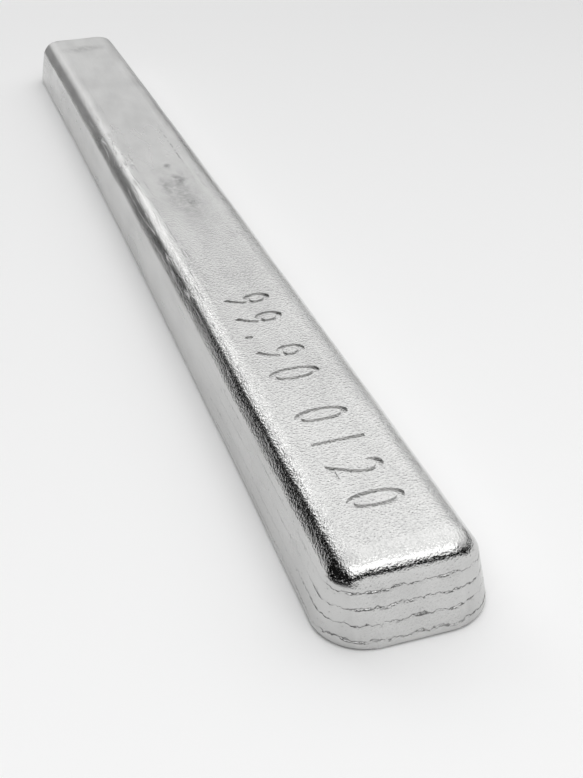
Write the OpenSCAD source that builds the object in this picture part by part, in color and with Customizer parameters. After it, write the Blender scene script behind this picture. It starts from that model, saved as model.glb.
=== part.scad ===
// Tin ingot: one long, slim cast bar that lies on its wide base.
// +X runs along the bar, +Z is up, and the origin is the middle of the base.
// Every wall leans inwards by its mould draft, the four upright corners are round in plan,
// and a rounded edge runs right round the top face and round the base.

/* [Size] */
// Length of the bar at its widest, along X
ingot_length = 540; // [420:5:700]
// Width of the bar at its widest, along Y
ingot_width = 50; // [42:1:80]
// Height of the bar, along Z
ingot_height = 24; // [18:1:34]

/* [Mould draft] */
// Lean of the two long sides, in degrees from upright
side_draft = 12; // [3:1:18]
// Lean of the two ends, in degrees from upright
end_draft = 18; // [3:1:28]

/* [Rounding] */
// Plan radius of the upright corners, at the base
corner_radius_base = 16; // [12:1:19]
// Plan radius of the upright corners, where the rounding of the top edge begins
corner_radius_shoulder = 8.5; // [7:0.5:12]
// Plan radius of the corners of the flat top face
corner_radius_top = 3; // [2:0.5:5]
// How far the rounded top edge reaches in from the long sides
side_edge_width = 8; // [4:0.5:10]
// How far it reaches down the long sides
side_edge_depth = 7; // [4:0.5:9]
// How far the rounded top edge reaches in from the ends
end_edge_width = 7.5; // [4:0.5:10]
// How far it reaches down the ends
end_edge_depth = 5; // [3:0.5:7]
// Radius of the small rounded edge round the base
base_edge_radius = 1.5; // [0.5:0.25:3]

/* [Smoothness] */
// Steps in each quarter-round corner, seen in plan
corner_steps = 14; // [6:1:24]
// Steps up each rounded edge, seen in section
edge_steps = 10; // [6:1:14]

/* [Hidden] */

tin_colour = "silver";

// Heights of the rings of points. They lie closer together up the two rounded edges.
base_levels = [for (i = [0:edge_steps])
    base_edge_radius * (1 - cos(i * (90 + side_draft) / edge_steps))];
side_turn = edge_turn(side_draft, side_edge_width, side_edge_depth);
side_shoulder = shoulder(side_draft, side_edge_width, side_edge_depth);
top_levels = [for (i = [0:edge_steps])
    ingot_height - side_edge_depth * (1 - sin(side_turn + i * (90 - side_turn) / edge_steps))];
levels = concat(base_levels, top_levels);
points_per_ring = 4 * (corner_steps + 1);

// The rounded top edge is a quarter of an ellipse. This is how far round it the wall's lean is.
function edge_turn(draft, width, depth) = atan(tan(draft) * depth / width);

// Height at which a leaning wall runs into that ellipse
function shoulder(draft, width, depth) =
    ingot_height - depth * (1 - sin(edge_turn(draft, width, depth)));

// Reach from the middle of the bar to a leaning wall at height z, with its top and base edges
// rounded. widest is the reach at the fullest point of the base edge.
function wall_reach(widest, draft, width, depth, z) =
    let (foot = widest + base_edge_radius * (tan(draft) + 1 / cos(draft) - 1),
         base_arc_end = base_edge_radius * (1 + sin(draft)),
         turn = edge_turn(draft, width, depth),
         meets = shoulder(draft, width, depth))
    z < base_arc_end
        ? widest - base_edge_radius + arc_reach(base_edge_radius, z - base_edge_radius)
        : z > meets
            ? foot - meets * tan(draft)
                - width * (cos(turn) - arc_reach(1, max(0, 1 - (ingot_height - z) / depth)))
            : foot - z * tan(draft);

// Half chord of a circle at a height above or below its centre
function arc_reach(radius, rise) = sqrt(max(0, radius * radius - rise * rise));

// Reach to a long side, and to an end
function side_reach(z) =
    wall_reach(ingot_width / 2, side_draft, side_edge_width, side_edge_depth, z);
function end_reach(z) =
    wall_reach(ingot_length / 2, end_draft, end_edge_width, end_edge_depth, z);

// Plan radius of the upright corners at height z. The rounded base edge takes away from it
// what it takes away from the walls. Over the top edge it shrinks as that edge draws in.
function corner_radius(z) =
    let (leaning = corner_radius_base
            + (corner_radius_shoulder - corner_radius_base) * z / side_shoulder,
         sharp_wall = ingot_width / 2
            + base_edge_radius * (tan(side_draft) + 1 / cos(side_draft) - 1) - z * tan(side_draft),
         drawn_in = (side_reach(side_shoulder) - side_reach(z))
            / (side_reach(side_shoulder) - side_reach(ingot_height)))
    z > side_shoulder
        ? corner_radius_shoulder + (corner_radius_top - corner_radius_shoulder) * drawn_in
        : leaning - (sharp_wall - side_reach(z));

// One rounded rectangle of points round the bar at height z. Its corners are never rounder
// than half of the bar's own length or width there.
function ring(z) =
    let (reach_x = end_reach(z),
         reach_y = side_reach(z),
         radius = min(corner_radius(z), reach_x, reach_y))
    [for (corner = [0:3], step = [0:corner_steps])
        let (turn = 90 * (corner + step / corner_steps),
             side_x = corner == 0 || corner == 3 ? 1 : -1,
             side_y = corner < 2 ? 1 : -1)
        [side_x * (reach_x - radius) + radius * cos(turn),
         side_y * (reach_y - radius) + radius * sin(turn),
         z]];

// Two triangles for each step along and up between neighbouring rings
wall_faces = [for (level = [0:len(levels) - 2], k = [0:points_per_ring - 1])
    let (next = (k + 1) % points_per_ring,
         low = level * points_per_ring,
         high = low + points_per_ring)
    each [[low + k, high + k, high + next], [low + k, high + next, low + next]]];
base_face = [for (k = [0:points_per_ring - 1]) k];
top_face = [for (k = [points_per_ring - 1:-1:0]) (len(levels) - 1) * points_per_ring + k];

// The whole bar, cast in one piece
module ingot() {
    color(tin_colour)
        polyhedron(points = [for (z = levels) each ring(z)],
                   faces = concat([base_face], wall_faces, [top_face]));
}

ingot();
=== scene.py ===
import math

import bmesh
import bpy
from mathutils import Matrix, Vector


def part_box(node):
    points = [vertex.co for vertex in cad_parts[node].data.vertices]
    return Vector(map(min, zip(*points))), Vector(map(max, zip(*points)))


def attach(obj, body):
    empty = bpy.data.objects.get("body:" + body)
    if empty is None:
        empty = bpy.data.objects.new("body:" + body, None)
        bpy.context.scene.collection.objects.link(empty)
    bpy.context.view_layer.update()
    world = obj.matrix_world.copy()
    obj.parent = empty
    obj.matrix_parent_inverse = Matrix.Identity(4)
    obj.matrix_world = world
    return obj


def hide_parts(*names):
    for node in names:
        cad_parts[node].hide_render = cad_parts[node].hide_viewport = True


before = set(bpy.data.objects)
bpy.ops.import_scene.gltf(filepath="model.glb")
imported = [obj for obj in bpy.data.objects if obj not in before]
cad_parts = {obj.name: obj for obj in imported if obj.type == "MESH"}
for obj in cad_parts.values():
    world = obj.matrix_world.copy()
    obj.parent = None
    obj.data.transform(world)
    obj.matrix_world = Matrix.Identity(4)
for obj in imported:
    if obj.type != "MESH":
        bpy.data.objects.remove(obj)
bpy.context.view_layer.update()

# ---------------------------------------------------------------- sizes, in metres
MM = 0.001
LOWEST, HIGHEST = (Vector(corner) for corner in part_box("ingot"))
LENGTH, WIDTH, HEIGHT = HIGHEST - LOWEST
SIDE_DRAFT = math.radians(12)      # lean of the long sides
END_DRAFT = math.radians(18)       # lean of the ends
CORNER_RADIUS = 16 * MM            # plan radius of the upright corners at the base
BASE_EDGE = 1.5 * MM               # rounding round the base
# The rounded top edge, as arcs one after another: radius, and the turn that each one ends at.
# It leaves the wall sharply, runs on in a broad easy bevel and rolls over on to the top.
SIDE_EDGE = ((2.5 * MM, math.radians(30)), (22.0 * MM, math.radians(42)),
             (5.0 * MM, math.radians(62)), (10.0 * MM, math.radians(90)))
END_EDGE = ((1.5 * MM, math.radians(27)), (7.5 * MM, math.radians(42)),
            (4.5 * MM, math.radians(62)), (13.0 * MM, math.radians(90)))
SHOULDER_RADIUS = 8.5 * MM         # plan radius of the upright corners where that edge begins
TOP_CORNER_RADIUS = 3.0 * MM       # plan radius of the flat top's corners
RELIEF = 0.15 * MM                 # room left inside the bar's box for its uneven skin
BOW = 0.95 * MM                    # sideways bend of the bar at mid-length, from cooling
PINCH = 0.95 * MM                  # how far the base edges are drawn in at mid-length

# heights of the skin's relief, in millimetres
BROAD_DENT = 0.11                  # wide, shallow dents, this much in and out
FINE_DENT = 0.12
RIPPLE_HEIGHT = 0.3
CRUST_HEIGHT = 0.06
LAP_DEPTH = 0.25
SKIN_DROP = 0.27                   # the whole skin is set in by this, to stay inside the box
GRAIN_RELIEF = 0.11 * MM           # height of the grains that the finish draws

# the laps round the ends, in millimetres
LAP_FIRST = 2.8                    # height of the lowest one
LAP_STEP = 4.4                     # from one to the next
LAP_WAVE = 3.2                     # how far they wander up and down
LAP_JAG = 1.3                      # height of their small jags
LAP_HALF_WIDTH = 0.28

# the number sunk into the top
NUMBER = "99.90 0120"
NUMBER_TALL = 17.5 * MM
NUMBER_DEPTH = 0.8 * MM
NUMBER_PLACE = (176 * MM, -1 * MM)
FONT_SIZE = 1.37 * NUMBER_TALL     # the font's digits are this much shorter than its size
DIGIT_SPACING = 1.72               # the gaps are wider than the font's
DIGIT_NARROWING = 0.72             # and the digits narrower
STROKE_THINNING = 0.04 * MM        # taken off each side of a stroke
CUTTER_HALF = 1.2 * MM             # half height of the block of digits that cuts the number
SAME_POINT = 0.02 * MM             # points of that block nearer than this are one

# oxide smudges on the top, in millimetres: centre, reach along each axis, and strength
SMUDGES = (((8, 2, 24), (52, 12, 8), 0.25), ((-234, 0, 24), (9, 20, 8), 0.22),
           ((-26, 3, 24), (4, 2.6, 4), 0.5), ((-7, 3.5, 24), (9, 4.5, 4), 0.45),
           ((18, 3, 24), (4, 3, 4), 0.5), ((-3, -3, 24), (16, 3, 4), 0.2))
SCRATCH_CENTRE, SCRATCH_REACH = (-51, 10.8, 24), (44, 0.7, 6)

# the camera
CAMERA_PLACE = (478.7 * MM, -97.1 * MM, 214.8 * MM)
CAMERA_TURN = math.radians(72.82)
CAMERA_DOWN = math.radians(31.21)
CAMERA_ROLL = math.radians(-1.38)
CAMERA_LENS = 55.24                # in mm, on a sensor 36 mm wide

FLOOR_REACH = 2.2                  # radius of the floor, in metres
# the studio sky: the way its axis leans, in degrees, and its light levels up that axis
SKY_TURN = 140
SKY_LEAN = 40
SKY_BANDS = ((0.0, 0.01), (0.32, 0.01), (0.50, 0.12), (0.59, 0.74), (0.80, 0.82), (0.90, 1.27),
             (1.0, 1.45))
# Heights go from 0 at the horizon to 1 overhead. All round, the sky has its low level below the
# first of these and its full light above the second.
HORIZON = (0.10, 0.25)
LOW_LEVEL = 0.02

# how finely the bar's mesh is cut
END_ZONE = 60 * MM                 # this far from each end it is cut finer
FINE_STEP = 0.6 * MM
COARSE_STEP = 2.4 * MM
CORNER_STEPS = 40
END_CUTS = 35
WALL_CUTS = 44
EDGE_RINGS = (2, 7, 4, 7)          # rows up each arc of the rounded top edge
BASE_RINGS = 3
TINY = 1e-6
CREASE_ANGLE = math.radians(50)    # edges sharper than this are shaded sharp

# node kinds that are used many times
MATH = "ShaderNodeMath"
VECTOR_MATH = "ShaderNodeVectorMath"
MAP_RANGE = "ShaderNodeMapRange"
SEPARATE = "ShaderNodeSeparateXYZ"
SMOOTH = {"interpolation_type": "SMOOTHSTEP"}      # makes a Map Range step smoothly


# ---------------------------------------------------------------- small helpers
def linear(hex_colour):
    """An sRGB hex colour as linear RGBA."""
    channels = [int(hex_colour[i:i + 2], 16) / 255 for i in (1, 3, 5)]
    return [c / 12.92 if c <= 0.04045 else ((c + 0.055) / 1.055) ** 2.4 for c in channels] + [1]


def add_node(tree, kind, *values, inputs=None, **settings):
    """Adds a node, sets it and links or sets its inputs, the first ones in order and others by
    name. Returns its first output that is in use, or the node itself where it has none."""
    node = tree.nodes.new(kind)
    for name, value in settings.items():
        setattr(node, name, value)
    for name, value in [*enumerate(values), *(inputs or {}).items()]:
        if isinstance(value, bpy.types.NodeSocket):
            tree.links.new(value, node.inputs[name])
        else:
            node.inputs[name].default_value = value
    live = [output for output in node.outputs if output.enabled]
    return live[0] if live else node


def pick(bar, kind, test):
    """Selects the vertices, or the edges or faces all of whose corners pass the test."""
    bpy.ops.mesh.select_mode(type=kind)
    bpy.ops.mesh.select_all(action="DESELECT")
    mesh = bmesh.from_edit_mesh(bar.data)
    if kind == "VERT":
        for vert in mesh.verts:
            vert.select_set(test(vert.co))
    else:
        for part in mesh.edges if kind == "EDGE" else mesh.faces:
            part.select_set(test([vert.co for vert in part.verts]))
    bmesh.update_edit_mesh(bar.data)


# ---------------------------------------------------------------- the bar's mesh
def edge_rise(draft, edge):
    """The height of a rounded edge above the wall that it starts from."""
    rise, start = 0, draft
    for radius, turn in edge:
        rise += radius * (math.sin(turn) - math.sin(start))
        start = turn
    return rise


def edge_inset(draft, edge, rise):
    """How far a rounded edge has drawn in at a height above its wall."""
    inset, start = 0, draft
    for radius, turn in edge:
        span = radius * (math.sin(turn) - math.sin(start))
        if rise <= span:
            turn = math.asin(min(1, math.sin(start) + rise / radius))
        inset += radius * (math.cos(start) - math.cos(turn))
        rise -= span
        start = turn
        if rise <= 0:
            break
    return inset


def wall_reach(half, draft, edge, height):
    """How far a wall and its rounded top edge stand from the middle at a height."""
    foot = half - RELIEF + BASE_EDGE * (math.tan(draft) + 1 / math.cos(draft) - 1)
    meets = HEIGHT - RELIEF - edge_rise(draft, edge)
    if height <= meets:
        return foot - height * math.tan(draft)
    return foot - meets * math.tan(draft) - edge_inset(draft, edge, height - meets)


def levels():
    """The bar's outlines from the foot up: height, reach along X and Y, and corner radius."""
    meets = HEIGHT - RELIEF - edge_rise(SIDE_DRAFT, SIDE_EDGE)
    heights, start = [0, meets], SIDE_DRAFT
    for (radius, turn), steps in zip(SIDE_EDGE, EDGE_RINGS):
        below = heights[-1]
        heights += [below + radius * (math.sin(start + (turn - start) * i / steps) - math.sin(start))
                    for i in range(1, steps + 1)]
        start = turn
    rings = []
    for height in heights:
        reach_x = wall_reach(LENGTH / 2, END_DRAFT, END_EDGE, height)
        reach_y = wall_reach(WIDTH / 2, SIDE_DRAFT, SIDE_EDGE, height)
        rings.append((height, reach_x, reach_y))
    side, flat = rings[1][2], rings[-1][2]
    radii = [CORNER_RADIUS] + [TOP_CORNER_RADIUS + (SHOULDER_RADIUS - TOP_CORNER_RADIUS)
                               * (ring[2] - flat) / (side - flat) for ring in rings[1:]]
    return [ring + (radius,) for ring, radius in zip(rings, radii)]


def outline(height, reach_x, reach_y, radius):
    """One flat face with round corners at a height, its edge cut finer near the bar's ends."""
    middle = LENGTH - 2 * END_ZONE
    bpy.ops.mesh.primitive_plane_add(size=1, location=(0, 0, 0))
    ring = bpy.context.object
    bpy.ops.object.mode_set(mode="EDIT")
    bpy.ops.transform.resize(value=(middle, 2 * reach_y, 1))
    bpy.ops.transform.translate(value=(0, 0, height))
    zone = reach_x - middle / 2
    for side in (1, -1):
        pick(ring, "EDGE", lambda ends: min(p.x * side for p in ends) > middle / 2 - MM)
        bpy.ops.mesh.extrude_region_move(TRANSFORM_OT_translate={"value": (side * zone, 0, 0)})
    bpy.ops.mesh.select_all(action="SELECT")
    bpy.ops.mesh.dissolve_faces()
    pick(ring, "EDGE", lambda ends: abs(ends[0].x - ends[1].x) > middle - MM)
    bpy.ops.mesh.subdivide(number_cuts=round(middle / COARSE_STEP) - 1)
    pick(ring, "VERT", lambda p: abs(p.x) > reach_x - MM)
    bpy.ops.mesh.bevel(affect="VERTICES", offset=radius, segments=CORNER_STEPS, profile=0.5)
    pick(ring, "EDGE", lambda ends: abs(ends[0].x - ends[1].x) > zone - radius - MM)
    bpy.ops.mesh.subdivide(number_cuts=round((END_ZONE - CORNER_RADIUS) / FINE_STEP) - 1)
    pick(ring, "EDGE", lambda ends: ends[0].y * ends[1].y < 0 and abs(ends[0].x) > reach_x - TINY)
    bpy.ops.mesh.subdivide(number_cuts=END_CUTS)
    bpy.ops.mesh.select_all(action="SELECT")
    bpy.ops.mesh.dissolve_faces()
    bpy.ops.object.mode_set(mode="OBJECT")
    return ring


def cast_bar():
    """The clean bar: outlines joined by walls, a grid over the top and a flat, rimmed foot."""
    rings = levels()
    objects = [outline(*ring) for ring in rings]
    bpy.ops.object.select_all(action="DESELECT")
    for ring in objects:
        ring.select_set(True)
    bpy.context.view_layer.objects.active = objects[0]
    bpy.ops.object.join()
    bar = bpy.context.object
    bar.name = "tin_bar"
    bpy.ops.object.mode_set(mode="EDIT")
    pick(bar, "FACE", lambda corners: corners[0].z > TINY)
    bpy.ops.mesh.delete(type="ONLY_FACE")
    for low, high in zip(rings, rings[1:]):
        pick(bar, "EDGE", lambda ends: low[0] - TINY < min(p.z for p in ends)
             and max(p.z for p in ends) < high[0] + TINY and abs(ends[0].z - ends[1].z) < TINY)
        bpy.ops.mesh.bridge_edge_loops()
    # the top is filled with a grid between its two long sides
    height, _, reach_y, radius = rings[-1]
    side_line = reach_y - radius * (1 - math.sqrt(0.5)) - 5 * TINY
    pick(bar, "EDGE", lambda ends: min(p.z for p in ends) > height - TINY
         and min(abs(p.y) for p in ends) > side_line and ends[0].y * ends[1].y > 0)
    bpy.ops.mesh.fill_grid()
    # the foot's rim is rounded
    pick(bar, "EDGE", lambda ends: max(p.z for p in ends) < TINY)
    rim_offset = BASE_EDGE / math.tan(math.pi / 4 - SIDE_DRAFT / 2)
    bpy.ops.mesh.bevel(affect="EDGES", offset_type="OFFSET", offset=rim_offset, segments=BASE_RINGS)
    # the walls are cut into rows
    pick(bar, "EDGE", lambda ends: abs(ends[0].z - ends[1].z) > HEIGHT / 2)
    bpy.ops.mesh.subdivide(number_cuts=WALL_CUTS)
    bpy.ops.mesh.select_all(action="SELECT")
    bpy.ops.mesh.normals_make_consistent(inside=False)
    bpy.ops.object.mode_set(mode="OBJECT")
    bpy.ops.object.shade_smooth()
    return bar


# ---------------------------------------------------------------- patterns of the skin
# Each takes a place in millimetres, as the relief and the finish both use them.
def patch(tree, place, centre, reach):
    """A soft patch: 1 at its centre and 0 at its reach along each axis."""
    away = add_node(tree, VECTOR_MATH, place, centre, operation="SUBTRACT")
    away = add_node(tree, VECTOR_MATH, away, reach, operation="DIVIDE")
    length = add_node(tree, VECTOR_MATH, away, operation="LENGTH")
    return add_node(tree, MAP_RANGE, length, 0, 1, 1, 0, **SMOOTH)


def mottle(tree, place, stretch, detail=2):
    """Cloudy noise from 0 to 1 whose blotches are as long as stretch, in mm, along each axis."""
    spread = add_node(tree, VECTOR_MATH, place, stretch, operation="DIVIDE")
    return add_node(tree, "ShaderNodeTexNoise",
                    inputs={"Vector": spread, "Scale": 1, "Detail": detail})


def lap_lines(tree, place):
    """Thin, jagged, broken cold-shut lines one above another: strong round the ends, where the
    metal met itself in steps as the mould filled, and faint on along the sides."""
    x, _, z = add_node(tree, SEPARATE, place).node.outputs
    along = add_node(tree, MATH, x, operation="ABSOLUTE")
    wave = mottle(tree, place, (40, 4, 12), 4)
    height = add_node(tree, MATH, wave, LAP_WAVE, z, operation="MULTIPLY_ADD")
    jagged = mottle(tree, place, (1.8, 1.8, 1.8), 1)
    height = add_node(tree, MATH, jagged, LAP_JAG, height, operation="MULTIPLY_ADD")
    height = add_node(tree, MATH, height, LAP_FIRST + (LAP_WAVE + LAP_JAG) / 2,
                      operation="SUBTRACT")
    away = add_node(tree, MATH, height, LAP_STEP / 2, operation="PINGPONG")
    line = add_node(tree, MAP_RANGE, away, 0, LAP_HALF_WIDTH, 1, 0, **SMOOTH)
    breaks = mottle(tree, place, (18, 5, 2.2))
    unbroken = add_node(tree, MAP_RANGE, breaks, 0.40, 0.56, 0.3, 1, **SMOOTH)
    below_edge = add_node(tree, MAP_RANGE, z, 16, 17.5, 1, 0, **SMOOTH)
    on_end = add_node(tree, MAP_RANGE, along, 236, 264, 0.35, 1, **SMOOTH)
    off_middle = add_node(tree, MAP_RANGE, along, 60, 200, **SMOOTH)
    near_half = add_node(tree, MAP_RANGE, x, -200, 0, 0.35, 1, **SMOOTH)
    for share in (unbroken, below_edge, on_end, off_middle, near_half):
        line = add_node(tree, MATH, line, share, operation="MULTIPLY")
    return line


def crust(tree, place):
    """How coarse the skin is: the top and rounded edges are crusted, more so near one end, and
    so is the middle of each end, while the sides and corners lay smooth against the mould."""
    x, y, z = add_node(tree, SEPARATE, place).node.outputs
    along = add_node(tree, MATH, x, operation="ABSOLUTE")
    above_walls = add_node(tree, MAP_RANGE, z, 17.2, 19.4, **SMOOTH)
    near_half = add_node(tree, MAP_RANGE, x, -120, 140, 0.12, 1, **SMOOTH)
    top = add_node(tree, MATH, above_walls, near_half, operation="MULTIPLY")
    left = add_node(tree, MAP_RANGE, y, -17.5, -15.5, **SMOOTH)
    right = add_node(tree, MAP_RANGE, y, 13, 15, 1, 0, **SMOOTH)
    end = add_node(tree, MAP_RANGE, along, 258, 262, 0, 0.6, **SMOOTH)
    for share in (left, right):
        end = add_node(tree, MATH, end, share, operation="MULTIPLY")
    return add_node(tree, MATH, top, end, operation="MAXIMUM")


def flow_ripples(tree, place):
    """Long shallow ripples beside the top's two long edges, where the metal drew in as it set."""
    x, y, _ = add_node(tree, SEPARATE, place).node.outputs
    along = add_node(tree, MATH, x, operation="ABSOLUTE")
    across = add_node(tree, MATH, y, operation="ABSOLUTE")
    inner = add_node(tree, MAP_RANGE, across, 9.5, 13, **SMOOTH)
    outer = add_node(tree, MAP_RANGE, across, 15.5, 18, 1, 0, **SMOOTH)
    off_ends = add_node(tree, MAP_RANGE, along, 205, 245, 1, 0.15, **SMOOTH)
    ripple = mottle(tree, place, (38, 1.7, 1.7))
    for share in (inner, outer, off_ends):
        ripple = add_node(tree, MATH, ripple, share, operation="MULTIPLY")
    return ripple


def creases(tree, place):
    """Thin, broken lengthwise wrinkles in the top's skin, towards its two long edges. They are
    weaker by the number and on the +Y half, and stop short of both ends."""
    x, y, z = add_node(tree, SEPARATE, place).node.outputs
    along = add_node(tree, MATH, x, operation="ABSOLUTE")
    across = add_node(tree, MATH, y, operation="ABSOLUTE")
    away = mottle(tree, place, (70, 2.6, 2.6), 3)
    away = add_node(tree, MATH, away, 0.5, operation="SUBTRACT")
    away = add_node(tree, MATH, away, operation="ABSOLUTE")
    crease = add_node(tree, MAP_RANGE, away, 0, 0.022, 1, 0, **SMOOTH)
    breaks = mottle(tree, place, (16, 4, 4))
    unbroken = add_node(tree, MAP_RANGE, breaks, 0.4, 0.6, **SMOOTH)
    near_side = add_node(tree, MAP_RANGE, y, -3, 3, 1, 0.45, **SMOOTH)
    off_middle_line = add_node(tree, MAP_RANGE, across, 8.5, 12, **SMOOTH)
    above_walls = add_node(tree, MAP_RANGE, z, 19, 20.5, **SMOOTH)
    off_ends = add_node(tree, MAP_RANGE, along, 200, 240, 1, 0, **SMOOTH)
    off_far_end = add_node(tree, MAP_RANGE, x, -160, -60, **SMOOTH)
    off_number = add_node(tree, MAP_RANGE, x, 60, 130, 1, 0.25, **SMOOTH)
    for share in (near_side, unbroken, off_middle_line, above_walls, off_ends, off_far_end,
                  off_number):
        crease = add_node(tree, MATH, crease, share, operation="MULTIPLY")
    return crease


# ---------------------------------------------------------------- number
def press_number(bar):
    """A plain number sunk into the top by a raised one in the mould, tops of digits towards +Y."""
    bpy.ops.object.select_all(action="DESELECT")
    bpy.ops.object.text_add(location=(0, 0, 0))
    number = bpy.context.object
    number.data.body = NUMBER
    number.data.align_x = "CENTER"
    number.data.align_y = "CENTER"
    number.data.size = FONT_SIZE
    number.data.space_character = DIGIT_SPACING
    number.data.offset = -STROKE_THINNING
    number.data.extrude = CUTTER_HALF
    number.data.resolution_u = 6
    bpy.ops.object.convert(target="MESH")
    bpy.ops.object.mode_set(mode="EDIT")
    bpy.ops.mesh.select_all(action="SELECT")
    bpy.ops.mesh.remove_doubles(threshold=SAME_POINT)
    bpy.ops.mesh.normals_make_consistent(inside=False)
    bpy.ops.transform.resize(value=(DIGIT_NARROWING, 1, 1))
    # the block's underside comes to the number's depth below the top
    height = HEIGHT - RELIEF - NUMBER_DEPTH + CUTTER_HALF
    bpy.ops.transform.translate(value=(*NUMBER_PLACE, height))
    bpy.ops.object.mode_set(mode="OBJECT")
    bpy.context.view_layer.objects.active = bar
    cut = bar.modifiers.new("number", "BOOLEAN")
    cut.operation = "DIFFERENCE"
    cut.solver = "EXACT"
    cut.object = number
    bpy.ops.object.modifier_apply(modifier=cut.name)
    bpy.data.objects.remove(number)
    bpy.ops.object.select_all(action="DESELECT")
    bar.select_set(True)
    bpy.ops.object.shade_smooth_by_angle(angle=CREASE_ANGLE)


# ---------------------------------------------------------------- relief
def cast_relief():
    """Moves the clean bar's skin: a slight bend, drawn-in base edges, dents, ripples, crust and
    laps."""
    tree = bpy.data.node_groups.new("cast_relief", "GeometryNodeTree")
    tree.interface.new_socket("Geometry", in_out="INPUT", socket_type="NodeSocketGeometry")
    tree.interface.new_socket("Geometry", in_out="OUTPUT", socket_type="NodeSocketGeometry")
    source = add_node(tree, "NodeGroupInput")
    position = add_node(tree, "GeometryNodeInputPosition")
    normal = add_node(tree, "GeometryNodeInputNormal")
    place = add_node(tree, VECTOR_MATH, position, inputs={"Scale": 1 / MM}, operation="SCALE")
    x, y, z = add_node(tree, SEPARATE, place).node.outputs
    along = add_node(tree, MATH, x, operation="ABSOLUTE")

    # how far the skin moves outwards, in mm
    broad = mottle(tree, place, (55, 20, 20), 1)
    depth = add_node(tree, MAP_RANGE, broad, 0.25, 0.75, -BROAD_DENT, BROAD_DENT, **SMOOTH)
    # the crust is only cut where the mesh is fine enough for it
    grain = mottle(tree, place, (1.6, 1.6, 1.6), 1)
    fine_mesh = add_node(tree, MAP_RANGE, along, 205, 215, **SMOOTH)
    for share in (crust(tree, place), fine_mesh):
        grain = add_node(tree, MATH, grain, share, operation="MULTIPLY")
    for pattern, height in ((mottle(tree, place, (12, 6, 6), 0), FINE_DENT),
                            (flow_ripples(tree, place), RIPPLE_HEIGHT),
                            (grain, CRUST_HEIGHT), (lap_lines(tree, place), -LAP_DEPTH)):
        depth = add_node(tree, MATH, pattern, height, depth, operation="MULTIPLY_ADD")
    depth = add_node(tree, MATH, depth, SKIN_DROP, operation="SUBTRACT")
    # the foot stays flat
    above_foot = add_node(tree, MAP_RANGE, z, 0.2, 1.5, **SMOOTH)
    depth = add_node(tree, MATH, depth, above_foot, operation="MULTIPLY")
    push = add_node(tree, MATH, depth, MM, operation="MULTIPLY")
    offset = add_node(tree, VECTOR_MATH, normal, inputs={"Scale": push}, operation="SCALE")

    # bend and drawn-in base edges, most at mid-length
    share = add_node(tree, MATH, along, LENGTH / 2 / MM, operation="DIVIDE")
    share = add_node(tree, MATH, share, 2, operation="POWER")
    share = add_node(tree, MATH, 1, share, operation="SUBTRACT")
    side = add_node(tree, MATH, y, operation="SIGN")
    low = add_node(tree, MAP_RANGE, z, 0, 8, 1, 0, **SMOOTH)
    pinch = add_node(tree, MATH, side, low, operation="MULTIPLY")
    shift = add_node(tree, MATH, pinch, -PINCH, BOW, operation="MULTIPLY_ADD")
    shift = add_node(tree, MATH, shift, share, operation="MULTIPLY")
    bend = add_node(tree, "ShaderNodeCombineXYZ", 0, shift, 0)
    offset = add_node(tree, VECTOR_MATH, offset, bend, operation="ADD")
    moved = add_node(tree, "GeometryNodeSetPosition", source, inputs={"Offset": offset})
    add_node(tree, "NodeGroupOutput", moved)
    return tree


def roughen(bar):
    """Puts that relief into the bar's mesh."""
    modifier = bar.modifiers.new("relief", "NODES")
    modifier.node_group = cast_relief()
    bpy.ops.object.modifier_apply(modifier=modifier.name)


# ---------------------------------------------------------------- finish
def skin_height(tree, place, coarse, grain, laps, wrinkles):
    """The finish's own relief, in parts of GRAIN_RELIEF: grains, frost, streaks from the mould
    wall, and sharp cuts where the laps and wrinkles are."""
    x, _, z = add_node(tree, SEPARATE, place).node.outputs
    grain = add_node(tree, MATH, grain, 0.5, operation="SUBTRACT")
    bolder_on_top = add_node(tree, MAP_RANGE, z, 21.5, 22.8, 1.3, 2.6, **SMOOTH)
    for share in (coarse, bolder_on_top):
        grain = add_node(tree, MATH, grain, share, operation="MULTIPLY")
    # the frost is finer still on the metal, and is drawn at 0.45 mm so that it shows
    frost = mottle(tree, place, (0.45, 0.45, 0.45), 1)
    near_half = add_node(tree, MAP_RANGE, x, -160, 60, 0.06, 0.2, **SMOOTH)
    frost = add_node(tree, MATH, frost, near_half, operation="MULTIPLY")
    height = add_node(tree, MATH, frost, grain, operation="ADD")
    streaks = mottle(tree, place, (40, 1.2, 0.8))
    for pattern, share in ((streaks, 0.1), (laps, -1.1), (wrinkles, -1)):
        height = add_node(tree, MATH, pattern, share, height, operation="MULTIPLY_ADD")
    return height


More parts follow.
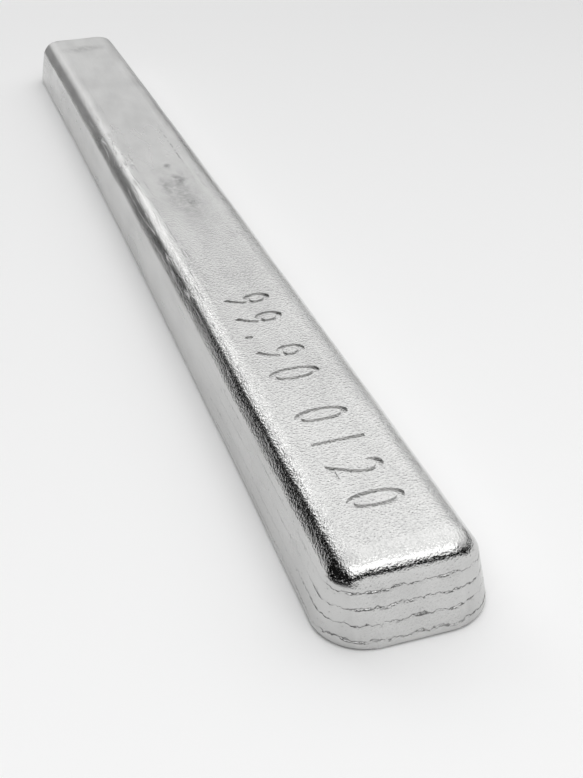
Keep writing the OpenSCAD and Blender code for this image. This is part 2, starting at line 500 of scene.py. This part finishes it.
def oxide_and_painted_shade(tree, place, coarse, grain, laps, wrinkles):
    """How dark the skin is: oxide smudges, clouds and a broken scratch on the top, specks on the
    walls, and painted shade in the grain's hollows, in the laps and wrinkles, on the smooth walls
    and towards the foot."""
    x, _, z = add_node(tree, SEPARATE, place).node.outputs
    oxide_and_shade = 0
    for centre, reach, strength in SMUDGES:
        smudge = patch(tree, place, centre, reach)
        oxide_and_shade = add_node(tree, MATH, smudge, strength, oxide_and_shade, operation="MULTIPLY_ADD")
    cloudy = mottle(tree, place, (5, 3, 3), 3)
    cloudy = add_node(tree, MAP_RANGE, cloudy, 0.3, 0.6, 0.3, 1.2, **SMOOTH)
    oxide_and_shade = add_node(tree, MATH, oxide_and_shade, cloudy, operation="MULTIPLY")

    scratch = patch(tree, place, SCRATCH_CENTRE, SCRATCH_REACH)
    breaks = mottle(tree, place, (5, 2, 2), 3)
    unbroken = add_node(tree, MAP_RANGE, breaks, 0.42, 0.6, **SMOOTH)
    scratch = add_node(tree, MATH, scratch, unbroken, operation="MULTIPLY")

    clouds = mottle(tree, place, (26, 9, 9), 4)
    clouds = add_node(tree, MAP_RANGE, clouds, 0.35, 0.75, **SMOOTH)

    # painted shade in the hollows of the coarse grain, darkest where the grain is lowest
    grain_hollow_shade = add_node(tree, MAP_RANGE, grain, 0.34, 0.56, 0.08, 0, **SMOOTH)
    grain_hollow_shade = add_node(tree, MATH, grain_hollow_shade, coarse, operation="MULTIPLY")

    specks = mottle(tree, place, (1.6, 0.9, 0.9))
    specks = add_node(tree, MAP_RANGE, specks, 0.66, 0.72, 0, 0.35, **SMOOTH)
    near_end = add_node(tree, MAP_RANGE, x, 20, 120, **SMOOTH)
    on_walls = add_node(tree, MAP_RANGE, coarse, 0, 0.3, 1, 0, **SMOOTH)
    for share in (near_end, on_walls):
        specks = add_node(tree, MATH, specks, share, operation="MULTIPLY")

    # painted shade: the smooth walls are a shade darker than the crust, most of all at the foot
    smooth_wall_shade = add_node(tree, MAP_RANGE, coarse, 0, 0.4, 0.07, 0, **SMOOTH)
    foot = add_node(tree, MAP_RANGE, z, 0, 12, 0.03, 0, **SMOOTH)
    # the laps and wrinkles darken the colour as painted shade in their grooves
    for pattern, strength in ((scratch, 0.55), (clouds, 0.1), (laps, 0.36), (grain_hollow_shade, 1),
                              (wrinkles, 0.2), (specks, 1), (smooth_wall_shade, 1), (foot, 1)):
        oxide_and_shade = add_node(tree, MATH, pattern, strength, oxide_and_shade, operation="MULTIPLY_ADD")
    return oxide_and_shade


def satin(tree, place):
    """The roughness: uneven, duller towards the far end's top and on the walls, and a little
    sharper along the near half's rounded edges."""
    x, _, z = add_node(tree, SEPARATE, place).node.outputs
    roughness = mottle(tree, place, (30, 8, 8), 3)
    roughness = add_node(tree, MAP_RANGE, roughness, 0.3, 0.7, 0.12, 0.20, **SMOOTH)
    far_half = add_node(tree, MAP_RANGE, x, -250, 110, 0.25, 0, **SMOOTH)
    above_walls = add_node(tree, MAP_RANGE, z, 17, 20, **SMOOTH)
    dull_top = add_node(tree, MATH, far_half, above_walls, operation="MULTIPLY")
    dull_wall = add_node(tree, MAP_RANGE, z, 16, 19, 0.08, 0, **SMOOTH)
    edge = add_node(tree, MAP_RANGE, z, 17, 19, **SMOOTH)
    below_top = add_node(tree, MAP_RANGE, z, 22.3, 23.2, 1, 0, **SMOOTH)
    near_half = add_node(tree, MAP_RANGE, x, -60, 120, **SMOOTH)
    for share in (below_top, near_half):
        edge = add_node(tree, MATH, edge, share, operation="MULTIPLY")
    for pattern, strength in ((dull_top, 1), (dull_wall, 1), (edge, -0.06)):
        roughness = add_node(tree, MATH, pattern, strength, roughness, operation="MULTIPLY_ADD")
    return roughness


def cast_tin():
    """Tin as it comes out of an open iron mould: bright, neutral grey with hardly any warmth.
    Its sides are satin from the mould wall. Its top froze in air, so it is crusted with fine
    grains that break up every reflection, and it carries smudges of thin oxide."""
    material = bpy.data.materials.new("cast_tin")
    material.use_nodes = True
    tree = material.node_tree
    tree.nodes.clear()
    spot = add_node(tree, "ShaderNodeTexCoord").node.outputs["Object"]
    place = add_node(tree, VECTOR_MATH, spot, inputs={"Scale": 1 / MM}, operation="SCALE")
    coarse = crust(tree, place)
    grain = mottle(tree, place, (0.65, 0.65, 0.65))      # grains of about 0.65 mm
    laps = lap_lines(tree, place)
    wrinkles = creases(tree, place)
    height = skin_height(tree, place, coarse, grain, laps, wrinkles)
    bump = add_node(tree, "ShaderNodeBump",
                    inputs={"Strength": 1, "Distance": GRAIN_RELIEF, "Height": height})
    oxide_and_shade = oxide_and_painted_shade(tree, place, coarse, grain, laps, wrinkles)
    # the dark colour mixed in is oxide where smudged and scratched, and painted shade in the laps,
    # wrinkles, grain hollows, on the smooth walls and towards the foot
    colour = add_node(tree, "ShaderNodeMix", data_type="RGBA",
                      inputs={"Factor": oxide_and_shade, "A": linear("#D3D3D2"), "B": linear("#4E4E50")})
    tin = add_node(tree, "ShaderNodeBsdfPrincipled", inputs={
        "Base Color": colour, "Metallic": 1, "Roughness": satin(tree, place), "Normal": bump})
    add_node(tree, "ShaderNodeOutputMaterial", tin)
    return material


def matt_floor():
    """A painted matt white floor: almost no gloss, so it stays plain and even to the eye."""
    material = bpy.data.materials.new("matt_white_floor")
    material.use_nodes = True
    surface = material.node_tree.nodes["Principled BSDF"]
    surface.inputs["Base Color"].default_value = linear("#F7F7F7")
    surface.inputs["Roughness"].default_value = 0.9
    surface.inputs["Specular IOR Level"].default_value = 0.1
    return material


# ---------------------------------------------------------------- camera, floor and light
def set_camera():
    """Above and beyond the near end, turned a little past the bar's long side."""
    camera = bpy.data.objects.new("camera", bpy.data.cameras.new("camera"))
    bpy.context.collection.objects.link(camera)
    camera.data.sensor_width = 36
    camera.data.lens = CAMERA_LENS
    turn = Matrix.Rotation(CAMERA_TURN, 4, "Z")
    tilt = Matrix.Rotation(math.pi / 2 - CAMERA_DOWN, 4, "X")
    roll = Matrix.Rotation(CAMERA_ROLL, 4, "Z")
    camera.matrix_world = Matrix.Translation(CAMERA_PLACE) @ turn @ tilt @ roll
    camera.data.clip_start = 10 * MM
    bpy.context.scene.camera = camera


def lay_floor():
    """A plain round floor under the bar."""
    bpy.ops.object.select_all(action="DESELECT")
    bpy.ops.mesh.primitive_circle_add(vertices=96, radius=FLOOR_REACH, fill_type="NGON")
    floor = bpy.context.object
    floor.name = "floor"
    floor.data.materials.append(matt_floor())


def softbox(name, place, aim, size, power):
    """A rectangular lamp: its place, aim and size in metres, and its power in watts."""
    light = bpy.data.lights.new(name, "AREA")
    light.shape = "RECTANGLE"
    light.size, light.size_y = size
    light.energy = power
    lamp = bpy.data.objects.new(name, light)
    bpy.context.collection.objects.link(lamp)
    lamp.location = place
    lamp.rotation_euler = (Vector(aim) - Vector(place)).to_track_quat("-Z", "Y").to_euler()


def set_sky():
    """A plain studio sky: dark low down and bright above, the dark reaching higher on the
    side of the bar's long wall and beyond its near end."""
    world = bpy.data.worlds.new("studio")
    bpy.context.scene.world = world
    world.use_nodes = True
    tree = world.node_tree
    tree.nodes.clear()
    direction = add_node(tree, "ShaderNodeTexCoord").node.outputs["Generated"]
    lean = Matrix.Rotation(math.radians(SKY_LEAN), 3, "Y")
    axis = Matrix.Rotation(math.radians(SKY_TURN), 3, "Z") @ lean @ Vector((0, 0, 1))
    height = add_node(tree, VECTOR_MATH, direction, axis, operation="DOT_PRODUCT")
    levels_up = add_node(tree, "ShaderNodeValToRGB", height)
    bands = levels_up.node.color_ramp.elements
    bands.remove(bands[1])
    bands[0].color = (SKY_BANDS[0][1],) * 3 + (1,)
    for at, level in SKY_BANDS[1:]:
        bands.new(at).color = (level,) * 3 + (1,)
    up = add_node(tree, SEPARATE, direction).node.outputs["Z"]
    glow = add_node(tree, MAP_RANGE, up, *HORIZON, LOW_LEVEL, 1, **SMOOTH)
    sky = add_node(tree, "ShaderNodeBackground", levels_up, glow)
    # past the edge of the floor there is a plain pale wall, which lights nothing
    wall = add_node(tree, "ShaderNodeBackground", linear("#E6E6E6"), 1)
    seen = add_node(tree, "ShaderNodeLightPath")
    add_node(tree, "ShaderNodeOutputWorld", add_node(tree, "ShaderNodeMixShader", seen, sky, wall))


bpy.context.scene.view_settings.view_transform = "Standard"
set_camera()
lay_floor()
set_sky()
# the white bands behind the near end's top edge and inside the long wall's
softbox("front", (0.97, 0, 1.11), (0.26, 0, 0), (1.7, 1.0), 8.8)
softbox("left", (-1.09, -0.37, 0.85), (0.15, 0, 0), (0.64, 0.55), 1.7)
# low ones that the near end's wall and the far half's edge mirror
softbox("end", (1.8, 0.4, 0.12), (0.27, 0, 0.06), (2.4, 0.24), 1.5)
softbox("far", (-2.2, -0.45, 0.33), (-0.15, 0, 0.02), (1.0, 0.45), 0.5)
# lights the floor that the long wall mirrors
softbox("right", (0.35, -1.3, 2.1), (0, 0, 0), (1.6, 1.2), 5.5)

bpy.ops.object.select_all(action="DESELECT")
bar = cast_bar()
roughen(bar)
press_number(bar)
bar.data.materials.append(cast_tin())
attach(bar, "root")
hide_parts("ingot")
